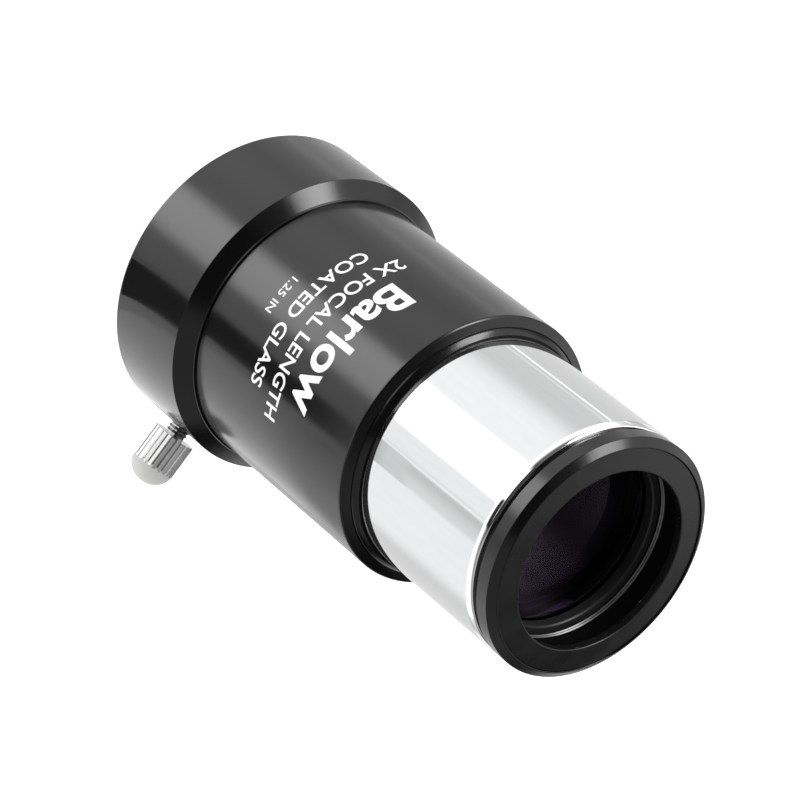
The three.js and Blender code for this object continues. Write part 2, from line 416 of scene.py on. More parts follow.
def clear_selection() -> None:
    """Leaves edit mode and deselects everything."""
    if bpy.context.object and bpy.context.object.mode != "OBJECT":
        bpy.ops.object.mode_set(mode="OBJECT")
    bpy.ops.object.select_all(action="DESELECT")


def activate(piece: bpy.types.Object) -> None:
    """Selects one object alone and makes it the active one.

    Args:
        piece: The object.
    """
    clear_selection()
    piece.select_set(True)
    bpy.context.view_layer.objects.active = piece


def apply_modifier(piece: bpy.types.Object, kind: str, **settings: object) -> None:
    """Adds a modifier and applies it.

    Args:
        piece: The object.
        kind: The modifier's type.
        settings: The modifier's properties.
    """
    activate(piece)
    modifier = piece.modifiers.new(kind.lower(), kind)
    for name, value in settings.items():
        setattr(modifier, name, value)
    bpy.ops.object.modifier_apply(modifier=modifier.name)


def set_place(piece: bpy.types.Object) -> None:
    """Moves an object's place, turn and scale into its mesh."""
    activate(piece)
    bpy.ops.object.transform_apply(location=True, rotation=True, scale=True)


def smooth(piece: bpy.types.Object, degrees: float = 32.0) -> None:
    """Shades a piece smooth with its long faces kept true, apart from sharp edges.

    Args:
        piece: The object.
        degrees: The angle past which an edge stays sharp.
    """
    activate(piece)
    bpy.ops.object.shade_smooth_by_angle(angle=math.radians(degrees))
    apply_modifier(piece, "WEIGHTED_NORMAL", mode="FACE_AREA", weight=100, keep_sharp=True)


def join(pieces: list[bpy.types.Object], name: str) -> bpy.types.Object:
    """Joins objects into one.

    Args:
        pieces: The objects; the first one is kept.
        name: The joined object's name.

    Returns:
        The joined object.
    """
    activate(pieces[0])
    for piece in pieces[1:]:
        piece.select_set(True)
    if len(pieces) > 1:
        bpy.ops.object.join()
    pieces[0].name = name
    pieces[0].data.name = name
    return pieces[0]


@dataclass
class Lathe:
    """Turns pieces about a vertical axis by drawing a ring of edges from corner to corner."""

    centre: float
    sides: int = 192
    edge: float = 0.12 * MM

    def turn(self, name: str, corners: list[tuple[float, float]], closed: bool = True,
             edge: float | None = None) -> bpy.types.Object:
        """Turns one closed shell.

        Args:
            name: The object's name.
            corners: Radius and height of each corner, with the outer wall going up. A closed
                outline comes back to its first corner; an open one ends on the axis.
            closed: Whether the outline is a ring's.
            edge: The width of the rounded edges; 0 leaves them sharp.

        Returns:
            The object, placed and smooth.
        """
        clear_selection()
        radius, height = corners[0]
        bpy.ops.mesh.primitive_circle_add(
            vertices=self.sides, radius=radius, location=(self.centre, 0, height),
            fill_type="NOTHING" if closed else "TRIFAN")
        piece = bpy.context.object
        piece.name = name
        bpy.ops.object.mode_set(mode="EDIT")
        bpy.ops.mesh.select_mode(type="VERT")
        bpy.ops.mesh.select_all(action="SELECT")
        if not closed:
            self.select_rim()
        route = corners[1:] + ([corners[0]] if closed else [])
        for next_radius, next_height in route:
            bpy.ops.mesh.extrude_region_move()
            scale = next_radius / radius
            bpy.ops.transform.resize(value=(scale, scale, 1),
                                     center_override=(self.centre, 0, height))
            bpy.ops.transform.translate(value=(0, 0, next_height - height))
            radius, height = max(next_radius, 1e-9), next_height
        if not closed:
            bpy.ops.mesh.merge(type="CENTER")
        bpy.ops.mesh.select_all(action="SELECT")
        bpy.ops.mesh.remove_doubles(threshold=0.0005 * MM)
        bpy.ops.mesh.normals_make_consistent(inside=False)
        bpy.ops.object.mode_set(mode="OBJECT")
        set_place(piece)
        width = self.edge if edge is None else edge
        if width:
            apply_modifier(piece, "BEVEL", width=width, segments=3, limit_method="ANGLE",
                           angle_limit=math.radians(12))
        smooth(piece)
        return piece

    @staticmethod
    def select_rim() -> None:
        """Selects the outer edges of a filled circle, so that only they are drawn on."""
        bpy.ops.mesh.select_all(action="DESELECT")
        bpy.ops.mesh.select_non_manifold(extend=False, use_wire=False, use_multi_face=False,
                                         use_non_contiguous=False, use_verts=False)

    def thread(self, name: str, radius: float, height: float, pitch: float, foot: float,
               turns: int, side: ThreadSide = ThreadSide.OUTSIDE, steps: int = 72
               ) -> bpy.types.Object:
        """Cuts a helical ridge.

        Args:
            name: The object's name.
            radius: The cylinder that the ridge stands on.
            height: How far the crest stands from it.
            pitch: The rise of one turn.
            foot: The height where the ridge begins.
            turns: The number of turns.
            side: Which way the crest points.
            steps: Facets in a turn.

        Returns:
            The object, placed and smooth.
        """
        clear_selection()
        bpy.ops.mesh.primitive_circle_add(vertices=3, radius=pitch,
                                          rotation=(0, 0, -side.value * math.pi / 2))
        ridge = bpy.context.object
        ridge.name = name
        set_place(ridge)
        ridge.rotation_euler = (math.pi / 2, 0, 0)
        set_place(ridge)
        bpy.ops.object.mode_set(mode="EDIT")
        bpy.ops.mesh.select_mode(type="VERT")
        bpy.ops.mesh.select_all(action="SELECT")
        root_width = math.sqrt(3) * pitch
        section_height = 1.5 * pitch
        foot_share = 0.86
        sunk = 0.25 * height
        bpy.ops.transform.resize(
            value=((height + sunk) / section_height, 1, foot_share * pitch / root_width),
            center_override=(0, 0, 0))
        middle = side.value * ((height + sunk) / 3 - sunk)
        bpy.ops.transform.translate(value=(radius + middle, 0, 0))
        bpy.ops.object.mode_set(mode="OBJECT")
        apply_modifier(ridge, "SCREW", axis="Z", angle=2 * math.pi, steps=steps,
                       render_steps=steps, screw_offset=pitch, iterations=turns,
                       use_normal_calculate=True)
        bpy.ops.object.mode_set(mode="EDIT")
        bpy.ops.mesh.select_all(action="SELECT")
        bpy.ops.mesh.fill_holes(sides=0)
        bpy.ops.mesh.select_all(action="SELECT")
        bpy.ops.mesh.normals_make_consistent(inside=False)
        bpy.ops.object.mode_set(mode="OBJECT")
        ridge.location = (self.centre, 0, foot)
        set_place(ridge)
        smooth(ridge)
        return ridge


MADE_MATERIALS: dict[str, bpy.types.Material] = {}


def material_of(finish: Finish) -> bpy.types.Material:
    """Finds a finish's material, which is built the first time.

    Args:
        finish: The finish.

    Returns:
        The material.
    """
    if finish.name not in MADE_MATERIALS:
        MADE_MATERIALS[finish.name] = finish.material()
    return MADE_MATERIALS[finish.name]


def dress(piece: bpy.types.Object, finish: Finish) -> None:
    """Gives a whole piece one finish."""
    piece.data.materials.clear()
    piece.data.materials.append(material_of(finish))


def dress_faces(piece: bpy.types.Object, finish: Finish,
                chosen: Callable[[Vector], bool]) -> None:
    """Gives some faces another finish.

    Args:
        piece: The object, which has its first finish.
        finish: The finish of the chosen faces.
        chosen: Tells whether a face is chosen, from its middle.
    """
    piece.data.materials.append(material_of(finish))
    index = len(piece.data.materials) - 1
    for face in piece.data.polygons:
        if chosen(face.center):
            face.material_index = index


def dress_inside(piece: bpy.types.Object, finish: Finish, centre: float, radius: float) -> None:
    """Gives the faces within a radius of the axis another finish.

    Args:
        piece: The object, which has its first finish.
        finish: The finish of the inner faces.
        centre: The axis's X.
        radius: The radius that the inner faces lie within.
    """
    dress_faces(piece, finish,
                lambda middle: math.hypot(middle.x - centre, middle.y) < radius)


def hand_over(piece: bpy.types.Object, body: Body, slot: Slot, *nodes: str) -> None:
    """Puts a piece on its body, in place of its nodes.

    Args:
        piece: The finished object.
        body: The body that it rides on.
        slot: Not used.
        nodes: The nodes that it stands for.
    """
    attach(piece, body.value)
    if nodes:
        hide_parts(*nodes)
    LOG.info("%s: %d faces on %s", piece.name, len(piece.data.polygons), body.value)


# ---- Sub-assemblies ---------------------------------------------------------------------


@dataclass
class EyepieceCollar:
    """The wide ring that takes the eyepiece, bevelled towards the barrel and drilled once."""

    lathe: Lathe
    bevel_height: float = 1.85 * MM
    lip_margin: float = 0.3 * MM
    lip_height: float = 0.16 * MM
    lip_draft: float = 0.05 * MM
    socket_radius: float = 15.9 * MM
    socket_chamfer: float = 0.8 * MM
    foot_chamfer: float = 0.35 * MM
    seat_radius: float = 17.2 * MM
    seat_depth: float = 6.75 * MM
    hole_radius: float = 1.58 * MM
    countersink: float = 0.4 * MM
    edge: float = 0.06 * MM
    bore_margin: float = 0.3 * MM

    def build(self) -> None:
        """Turns the ring, drills it and dresses it."""
        span = Span.of("eyepiece_collar")
        barrel = Span.of("main_barrel")
        shoulder = span.top - self.bevel_height
        seat = span.top - self.seat_depth
        ring = self.lathe.turn("eyepiece_collar_ring", [
            (self.socket_radius + self.socket_chamfer, span.foot),
            (span.radius - self.foot_chamfer, span.foot),
            (span.radius, span.foot + self.foot_chamfer),
            (span.radius, shoulder),
            (barrel.radius + self.lip_margin, span.top - self.lip_height),
            (barrel.radius + self.lip_margin - self.lip_draft, span.top),
            (self.seat_radius, span.top),
            (self.seat_radius, seat),
            (self.socket_radius, seat),
            (self.socket_radius, span.foot + self.socket_chamfer),
        ], edge=self.edge)
        self.drill(ring, span)
        dress(ring, ANODISED)
        dress_inside(ring, BORE_BLACK, self.lathe.centre, self.socket_radius + self.bore_margin)
        hand_over(ring, Body.BARREL, Slot.ANODISED, "eyepiece_collar")

    def drill(self, ring: bpy.types.Object, span: Span) -> None:
        """Drills the thumbscrew's hole, with a small countersink at its mouth.

        Args:
            ring: The turned ring.
            span: The ring's span.
        """
        low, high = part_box("thumbscrew")
        height = (low[2] + high[2]) / 2
        clear_selection()
        reach = span.radius
        bpy.ops.mesh.primitive_cylinder_add(
            vertices=48, radius=self.hole_radius, depth=reach,
            location=(self.lathe.centre + span.radius - reach / 2, 0, height),
            rotation=(0, math.pi / 2, 0))
        drill = bpy.context.object
        set_place(drill)
        bpy.ops.object.mode_set(mode="EDIT")
        bpy.ops.mesh.select_all(action="DESELECT")
        bpy.ops.object.mode_set(mode="OBJECT")
        outermost = max(face.center.x for face in drill.data.polygons)
        for face in drill.data.polygons:
            face.select = face.center.x > outermost - 0.1 * self.countersink
        bpy.ops.object.mode_set(mode="EDIT")
        bpy.ops.mesh.select_mode(type="FACE")
        bpy.ops.mesh.extrude_region_move(
            TRANSFORM_OT_translate={"value": (self.countersink, 0, 0)})
        scale = 1 + self.countersink / self.hole_radius
        bpy.ops.transform.resize(value=(1, scale, scale),
                                 center_override=(self.lathe.centre + span.radius, 0, height))
        bpy.ops.object.mode_set(mode="OBJECT")
        apply_modifier(ring, "BOOLEAN", operation="DIFFERENCE", object=drill, solver="EXACT")
        smooth(ring)
        bpy.data.objects.remove(drill, do_unlink=True)


@dataclass
class MainBarrel:
    """The long black barrel: a spigot in the collar, a ledge inside, and a lip at its end."""

    lathe: Lathe
    spigot_radius: float = 17.1 * MM
    spigot_height: float = 6.65 * MM
    socket_radius: float = 15.9 * MM
    end_drop: float = 1.0 * MM
    end_round: float = 0.38 * MM
    end_rise: float = 0.34 * MM
    groove_width: float = 0.1 * MM
    groove_depth: float = 0.12 * MM
    lip_foot: float = 16.72 * MM
    lip_radius: float = 16.1 * MM
    thread_radius: float = 15.3 * MM
    ledge_radius: float = 14.0 * MM
    ledge_height: float = 2.0 * MM
    edge: float = 0.03 * MM
    bore_margin: float = 0.1 * MM

    def build(self) -> None:
        """Turns the barrel and dresses it."""
        span = Span.of("main_barrel")
        stop = Span.of("glare_stop")
        end = span.top - self.end_drop
        shoulder = span.foot + self.spigot_height
        shell = self.lathe.turn("main_barrel_tube", [
            (self.socket_radius, span.foot),
            (self.spigot_radius, span.foot),
            (self.spigot_radius, shoulder),
            (span.radius, shoulder),
            (span.radius, end - self.end_round),
            (span.radius - 0.13 * self.end_round, end - 0.5 * self.end_round),
            (span.radius - 0.5 * self.end_round, end - 0.13 * self.end_round),
            (span.radius - self.end_round, end),
            (self.lip_foot + self.groove_width, end + self.end_rise),
            (self.lip_foot, end + self.end_rise - self.groove_depth),
            (self.lip_foot - self.groove_width, end + self.end_rise + self.groove_depth),
            (self.lip_radius, span.top),
            (self.thread_radius, span.top),
            (self.thread_radius, stop.foot),
            (self.ledge_radius, stop.foot),
            (self.ledge_radius, stop.foot - self.ledge_height),
            (self.socket_radius, stop.foot - self.ledge_height),
        ], edge=self.edge)
        dress(shell, ANODISED)
        dress_inside(shell, BORE_BLACK, self.lathe.centre, self.socket_radius + self.bore_margin)
        hand_over(shell, Body.BARREL, Slot.ANODISED, "main_barrel")


@dataclass(frozen=True)
class PrintLine:
    """One line of the barrel's print."""

    words: str
    cap_height: float
    width: float
    baseline: float
    weight: float


@dataclass
class BarrelPrint:
    """Plain white print wrapped round the barrel, reading round it, tops to the lens end."""

    radius: float
    centre: float
    turn: float
    lines: tuple[PrintLine, ...]
    thickness: float = 0.03 * MM
    strip: float = 0.6 * MM
    sharp_angle: float = 20.0

    def build(self) -> None:
        """Sets each line, wraps it and joins the print into one piece."""
        made = [self.wrap(line) for line in self.lines]
        piece = join(made, "barrel_print")
        dress(piece, PRINT_WHITE)
        hand_over(piece, Body.BARREL, Slot.SATIN)

    def wrap(self, line: PrintLine) -> bpy.types.Object:
        """Sets one line flat, cuts it into strips and bends it round the barrel.

        Args:
            line: The line.

        Returns:
            The wrapped object.
        """
        clear_selection()
        bpy.ops.object.text_add(rotation=(math.pi / 2, 0, 0))
        text = bpy.context.object
        text.data.body = line.words
        text.data.align_x = "CENTER"
        text.data.size = line.cap_height / CAP_SHARE
        text.data.offset = line.weight * line.cap_height
        text.data.extrude = self.thickness / 2
        text.data.resolution_u = 6
        bpy.ops.object.convert(target="MESH")
        text = bpy.context.object
        set_place(text)
        places = [vertex.co.x for vertex in text.data.vertices]
        left, right = min(places), max(places)
        width = line.width
        stretch = width / (right - left)
        text.scale = (stretch, 1, 1)
        text.location = (-stretch * (left + right) / 2, 0, 0)
        set_place(text)
        bpy.ops.object.mode_set(mode="EDIT")
        bpy.ops.mesh.select_mode(type="VERT")
        bpy.ops.mesh.select_all(action="SELECT")
        bpy.ops.mesh.remove_doubles(threshold=0.001 * MM)
        cuts = int(width / self.strip)
        for cut in range(1, cuts):
            bpy.ops.mesh.select_all(action="SELECT")
            bpy.ops.mesh.bisect(plane_co=(width * (cut / cuts - 0.5), 0, 0),
                                plane_no=(1, 0, 0))
        bpy.ops.object.mode_set(mode="OBJECT")
        apply_modifier(text, "SIMPLE_DEFORM", deform_method="BEND", deform_axis="Z",
                       angle=width / self.radius)
        text.location = (0, -self.radius, 0)
        set_place(text)
        text.rotation_euler = (0, 0, self.turn)
        text.location = (self.centre, 0, line.baseline)
        set_place(text)
        smooth(text, self.sharp_angle)
        return text


@dataclass
class GlareStop:
    """The sharp-edged ring that stops stray light at the foot of the eyepiece socket."""

    lathe: Lathe
    hole_radius: float = 11.5 * MM
    bevel: float = 0.8 * MM
    lip: float = 0.4 * MM
    edge: float = 0.05 * MM

    def build(self) -> None:
        """Turns the ring and dresses it."""
        span = Span.of("glare_stop")
        ring = self.lathe.turn("glare_stop_ring", [
            (self.hole_radius, span.foot),
            (span.radius, span.foot),
            (span.radius, span.top),
            (self.hole_radius + self.bevel, span.top),
            (self.hole_radius, span.foot + self.lip),
        ], edge=self.edge)
        dress(ring, MATT_BLACK)
        hand_over(ring, Body.BARREL, Slot.MATT, "glare_stop")


@dataclass
class Nosepiece:
    """The chromed tube, bevelled at its end, with the filter thread inside and a black bore."""

    lathe: Lathe
    neck_radius: float = 15.1 * MM
    bore_radius: float = 13.9 * MM
    bevel_drop: float = 0.85 * MM
    bevel_inset: float = 0.22 * MM
    break_drop: float = 0.5 * MM
    break_inset: float = 0.085 * MM
    edge_drop: float = 0.14 * MM
    edge_inset: float = 0.38 * MM
    thread_radius: float = 14.3 * MM
    thread_depth: float = 4.75 * MM
    thread_pitch: float = 0.6 * MM
    thread_height: float = 0.14 * MM
    thread_turns: int = 6
    edge: float = 0.05 * MM
    bore_margin: float = 0.2 * MM

    def build(self) -> None:
        """Turns the tube, cuts its thread and dresses both."""
        span = Span.of("nosepiece")
        barrel = Span.of("main_barrel")
        thread_foot = span.top - self.thread_depth
        tube = self.lathe.turn("nosepiece_tube", [
            (self.bore_radius, span.foot),
            (self.neck_radius, span.foot),
            (self.neck_radius, barrel.top),
            (span.radius, barrel.top),
            (span.radius, span.top - self.bevel_drop),
            (span.radius - self.break_inset, span.top - self.break_drop),
            (span.radius - self.bevel_inset, span.top - self.edge_drop),
            (span.radius - self.edge_inset, span.top),
            (self.thread_radius, span.top),
            (self.thread_radius, thread_foot),
            (self.bore_radius, thread_foot),
        ], edge=self.edge)
        ridge = self.lathe.thread("nosepiece_thread", self.thread_radius, self.thread_height,
                                  self.thread_pitch, thread_foot + self.thread_pitch,
                                  self.thread_turns, ThreadSide.INSIDE)
        bevel_foot = span.top - self.bevel_drop
        dress(tube, CHROME)
        # The bevel and end face take the brighter chrome copy, a painted highlight.
        dress_faces(tube, CHROME_PAINTED_HIGHLIGHT, lambda middle: middle.z > bevel_foot + 0.03 * MM)
        dress_inside(tube, BORE_BLACK, self.lathe.centre, self.bore_radius + self.bore_margin)
        dress(ridge, CHROME)
        piece = join([tube, ridge], "nosepiece_tube")
        hand_over(piece, Body.BARREL, Slot.CHROME, "nosepiece")


@dataclass
class LensCell:
    """The black cell that screws into the tube, with its bevelled rim and bored seat."""

    lathe: Lathe
    rim_drop: float = 0.7 * MM
    face_radius: float = 14.78 * MM
    seat_radius: float = 14.65 * MM
    bore_radius: float = 12.75 * MM
    undercut_radius: float = 15.1 * MM
    undercut_height: float = 0.9 * MM
    rim_foot_edge: float = 0.12 * MM
    thread_radius: float = 13.95 * MM
    thread_height: float = 0.2 * MM
    thread_pitch: float = 0.6 * MM
    thread_foot: float = 6.1 * MM
    thread_gap: float = 0.4 * MM
    thread_turns: int = 6
    ring_thread_height: float = 0.1 * MM
    ring_thread_pitch: float = 0.35 * MM
    ring_thread_turns: int = 2
    body_radius: float = 13.6 * MM
    ledge_height: float = 1.45 * MM
    ledge_radius: float = 11.4 * MM
    edge: float = 0.07 * MM
    bore_margin: float = 0.05 * MM

    def build(self) -> None:
        """Turns the cell, cuts its two threads and dresses it."""
        span = Span.of("lens_cell")
        tube = Span.of("nosepiece")
        cap = Span.of("front_cap")
        ring = Span.of("retaining_ring")
        cell = self.lathe.turn("lens_cell_body", [
            (self.ledge_radius, span.foot),
            (self.body_radius, span.foot),
            (self.body_radius, span.foot + self.thread_foot),
            (self.thread_radius, span.foot + self.thread_foot),
            (self.thread_radius, tube.top),
            (self.undercut_radius, tube.top),
            (self.undercut_radius, tube.top + self.undercut_height),
            (span.radius - self.rim_foot_edge, tube.top + self.undercut_height),
            (span.radius, tube.top + self.undercut_height + self.rim_foot_edge),
            (span.radius, span.top - self.rim_drop),
            (self.face_radius, span.top),
            (self.seat_radius, span.top),
            (self.seat_radius, cap.foot),
            (self.bore_radius, cap.foot),
            (self.bore_radius, span.foot + self.ledge_height),
            (self.ledge_radius, span.foot + self.ledge_height),
        ], edge=self.edge)
        outer = self.lathe.thread("cell_outer_thread", self.thread_radius, self.thread_height,
                                  self.thread_pitch,
                                  span.foot + self.thread_foot + self.thread_gap,
                                  self.thread_turns)
        inner = self.lathe.thread("cell_inner_thread", self.bore_radius,
                                  self.ring_thread_height, self.ring_thread_pitch,
                                  ring.top + self.ring_thread_pitch / 2,
                                  self.ring_thread_turns, ThreadSide.INSIDE)
        dress(cell, ANODISED)
        dress_inside(cell, BORE_BLACK, self.lathe.centre, self.bore_radius + self.bore_margin)
        dress(outer, ANODISED)
        # The inner thread takes the lighter grey finish, a painted highlight on its turns.
        dress(inner, THREAD_PAINTED_HIGHLIGHT)
        piece = join([cell, outer, inner], "lens_cell_body")
        hand_over(piece, Body.CELL, Slot.ANODISED, "lens_cell")


@dataclass
class FrontCap:
    """The flat satin ring pressed into the cell, round the opening that light enters by."""

    lathe: Lathe
    hole_radius: float = 11.7 * MM
    hole_edge: float = 0.08 * MM
    crown: float = 0.2 * MM
    edge: float = 0.04 * MM

    def build(self) -> None:
        """Turns the ring, slightly crowned towards its hole, and dresses it."""
        span = Span.of("front_cap")
        ring = self.lathe.turn("front_cap_ring", [
            (self.hole_radius, span.foot),
            (span.radius, span.foot),
            (span.radius, span.top - self.crown),
            (self.hole_radius + self.hole_edge, span.top),
            (self.hole_radius, span.top - self.hole_edge),
        ], edge=self.edge)
        dress(ring, SATIN_BLACK)
        hand_over(ring, Body.CELL, Slot.SATIN, "front_cap")


@dataclass
class RetainingRing:
    """The threaded ring that holds the glass, with two spanner slots."""

    lathe: Lathe
    hole_radius: float = 11.65 * MM
    bevel: float = 0.2 * MM
    slot_width: float = 1.2 * MM
    slot_depth: float = 0.7 * MM
    edge: float = 0.05 * MM

    def build(self) -> None:
        """Turns the ring, mills its slots and dresses it."""
        span = Span.of("retaining_ring")
        ring = self.lathe.turn("retaining_ring_body", [
            (self.hole_radius, span.foot),
            (span.radius, span.foot),
            (span.radius, span.top),
            (self.hole_radius + self.bevel, span.top),
            (self.hole_radius, span.top - self.bevel),
        ], edge=self.edge)
        clear_selection()
        bpy.ops.mesh.primitive_cube_add(
            size=1, location=(self.lathe.centre, 0, span.top),
            scale=(3 * span.radius, self.slot_width, 2 * self.slot_depth))
        cutter = bpy.context.object
        set_place(cutter)
        apply_modifier(ring, "BOOLEAN", operation="DIFFERENCE", object=cutter, solver="EXACT")
        bpy.data.objects.remove(cutter, do_unlink=True)
        smooth(ring)
        dress(ring, RING_BLACK)
        dress_inside(ring, MATT_BLACK, self.lathe.centre, self.hole_radius + 0.3 * self.bevel)
        hand_over(ring, Body.CELL, Slot.ANODISED, "retaining_ring")


@dataclass
class Achromat:
    """The two lens elements and the spacer between them."""

    lathe: Lathe
    seat_radius: float = 11.6 * MM
    spacer_hole: float = 11.7 * MM
    spacer_edge: float = 0.03 * MM
    outer_rise: float = 0.8 * MM
    inner_sag: float = 1.3 * MM
    crown_hollow: float = 1.5 * MM
    steps: int = 14

    def build(self) -> None:
        """Turns the lenses and the spacer and dresses them."""
        crown = Span.of("crown_lens")
        flint = Span.of("flint_lens")
        spacer = Span.of("lens_spacer")
        flint_foot = flint.foot + self.inner_sag
        flint_top = flint.top - self.outer_rise
        self.lens("crown_lens_glass", crown.radius, crown.foot, self.crown_hollow, crown.top,
                  -self.inner_sag, "crown_lens")
        self.lens("flint_lens_glass", flint.radius, flint_foot, -self.inner_sag, flint_top,
                  self.outer_rise, "flint_lens")
        ring = self.lathe.turn("lens_spacer_ring", [
            (self.spacer_hole, spacer.foot), (spacer.radius, spacer.foot),
            (spacer.radius, spacer.top), (self.spacer_hole, spacer.top),
        ], edge=self.spacer_edge)
        dress(ring, MATT_BLACK)
        hand_over(ring, Body.LENSES, Slot.MATT, "lens_spacer")

    def face(self, edge_height: float, sag: float) -> list[tuple[float, float]]:
        """Works out a curved face.

        Args:
            edge_height: The height of its edge.
            sag: How far its middle is above its edge.

        Returns:
            The radius and height of its corners, from near the axis out to its seat.
        """
        corners = []
        for step in range(1, self.steps + 1):
            share = step / self.steps
            corners.append((self.seat_radius * share, edge_height + sag * (1 - share * share)))
        return corners

    def lens(self, name: str, radius: float, foot: float, foot_sag: float, top: float,
             top_sag: float, node: str) -> None:
        """Turns one lens.

        Args:
            name: The object's name.
            radius: The lens's edge radius.
            foot: The height of the lower face's edge.
            foot_sag: How far the lower face's middle is above its edge.
            top: The height of the upper face's edge.
            top_sag: How far the upper face's middle is above its edge.
            node: The node that it stands for.
        """
        lower = self.face(foot, foot_sag) + [(radius, foot)]
        upper = [(radius, top)] + self.face(top, top_sag)[::-1]
        glass = self.lathe.turn(name, lower + upper + [(0.0, top + top_sag)], closed=False,
                                edge=0)
        dress(glass, GLASS)
        hand_over(glass, Body.LENSES, Slot.GLASS, node)


@dataclass
class Thumbscrew:
    """The straight-knurled screw with a satin domed end, and the pad that it pushes."""

    centre: float
    flutes: int = 24
    columns: int = 6
    root_columns: int = 2
    root_depth: float = 0.24 * MM
    head_length: float = 4.6 * MM
    dome_height: float = 2.2 * MM
    dome_rise: float = 2.45 * MM
    dome_inset: float = 0.06 * MM
    core_radius: float = 1.24 * MM
    thread_height: float = 0.22 * MM
    pitch: float = 0.5 * MM
    neck_clear: float = 0.35 * MM
    tip_radius: float = 0.4 * MM
    tip_edge: float = 0.15 * MM
    head_overlap: float = 0.5 * MM
    dome_overlap: float = 0.3 * MM
    dome_hub: float = 0.5 * MM
    pad_edge: float = 0.15 * MM
    pad_face: float = 0.3 * MM
    sharp_angle: float = 18.0
    radius: float = field(init=False, default=0.0)
    height: float = field(init=False, default=0.0)

    def build(self) -> None:
        """Makes the head, the dome and the threaded shank, and lays them along +X."""
        low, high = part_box("thumbscrew")
        self.radius = (high[1] - low[1]) / 2
        self.height = (low[2] + high[2]) / 2
        dome_foot = high[0] - self.dome_height
        head_face = dome_foot - self.head_length
        lathe = Lathe(0.0, 96)
        head = self.knurl(head_face, dome_foot)
        dome = self.dome(lathe, dome_foot)
        shank = lathe.turn("screw_core", [
            (self.tip_radius, low[0]),
            (self.core_radius - self.tip_edge, low[0]),
            (self.core_radius, low[0] + self.tip_edge),
            (self.core_radius, head_face + self.head_overlap),
            (0.0, head_face + self.head_overlap),
        ], closed=False, edge=0)
        turns = int((head_face - low[0] - 2 * self.neck_clear) / self.pitch)
        ridge = lathe.thread("screw_thread", self.core_radius, self.thread_height, self.pitch,
                             low[0] + self.neck_clear, turns, steps=36)
        # The shank and its thread take the darker nickel copy, painted shade.
        for shell, finish in ((dome, NICKEL_SATIN), (shank, NICKEL_THREAD_PAINTED_SHADE),
                              (ridge, NICKEL_THREAD_PAINTED_SHADE)):
            dress(shell, finish)
        screw = join([head, dome, shank, ridge], "thumbscrew_head")
        self.lay(screw)
        hand_over(screw, Body.SCREW, Slot.NICKEL, "thumbscrew")
        self.pad(lathe)

    def knurl(self, foot: float, top: float) -> bpy.types.Object:
        """Cuts the straight flutes in the head.

        Args:
            foot: Where the head begins.
            top: Where its dome begins.

        Returns:
            The head.
        """
        columns = self.flutes * self.columns
        clear_selection()
        bpy.ops.mesh.primitive_cylinder_add(
            vertices=columns, radius=self.radius, depth=top - foot,
            location=(0, 0, (foot + top) / 2))
        head = bpy.context.object
        set_place(head)
        bpy.ops.object.mode_set(mode="EDIT")
        bpy.ops.mesh.select_mode(type="VERT")
        bpy.ops.mesh.select_all(action="DESELECT")
        bpy.ops.object.mode_set(mode="OBJECT")
        for vertex in head.data.vertices:
            turn = math.atan2(vertex.co.y, vertex.co.x) / (2 * math.pi)
            vertex.select = round(turn * columns) % self.columns < self.root_columns
        bpy.ops.object.mode_set(mode="EDIT")
        scale = 1 - self.root_depth / self.radius
        bpy.ops.transform.resize(value=(scale, scale, 1), center_override=(0, 0, 0))
        bpy.ops.object.mode_set(mode="OBJECT")
        smooth(head, self.sharp_angle)
        dress(head, NICKEL)
        # The flute roots take the dark nickel copy, painted shade in the grooves.
        root = self.radius - 0.9 * self.root_depth
        dress_faces(head, NICKEL_ROOT_PAINTED_SHADE,
                    lambda middle: 0.5 * root < math.hypot(middle.x, middle.y) < root)
        return head

    def dome(self, lathe: Lathe, foot: float) -> bpy.types.Object:
        """Turns the domed end.

        Args:
            lathe: The lathe.
            foot: Where the dome begins.

        Returns:
            The dome.
        """
        radius = self.radius - self.dome_inset
        buried = foot - self.dome_overlap
        corners = [(self.dome_hub, buried), (radius, buried), (radius, foot)]
        steps = 16
        for step in range(1, steps):
            angle = step / steps * math.pi / 2
            corners.append((radius * math.cos(angle), foot + self.dome_rise * math.sin(angle)))
        corners.append((0.0, foot + self.dome_rise))
        return lathe.turn("screw_dome", corners, closed=False, edge=0)

    def lay(self, piece: bpy.types.Object) -> None:
        """Lays a piece made about Z along +X, at the screw's height.

        Args:
            piece: The object.
        """
        piece.rotation_euler = (0, math.pi / 2, 0)
        piece.location = (0, 0, self.height)
        set_place(piece)

    def pad(self, lathe: Lathe) -> None:
        """Turns the nylon pad and dresses it.

        Args:
            lathe: The lathe.
        """
        low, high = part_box("clamp_pad")
        radius = (high[1] - low[1]) / 2
        edge = self.pad_edge
        pad = lathe.turn("clamp_pad_disc", [
            (self.pad_face, low[0]),
            (radius - edge, low[0]),
            (radius, low[0] + edge),
            (radius, high[0] - edge),
            (radius - edge, high[0]),
            (0.0, high[0]),
        ], closed=False, edge=0)
        self.lay(pad)
        dress(pad, NYLON)
        hand_over(pad, Body.PAD, Slot.NYLON, "clamp_pad")


# ---- Studio -----------------------------------------------------------------------------


@dataclass(frozen=True)
class Glow:
    """A soft bright or dark patch of the studio round the lens, by direction in degrees."""

    azimuth: float
    half_width: float
    fade: float
    gain: float
    low: float = -80.0
    high: float = -10.0
    soft: float = 15.0


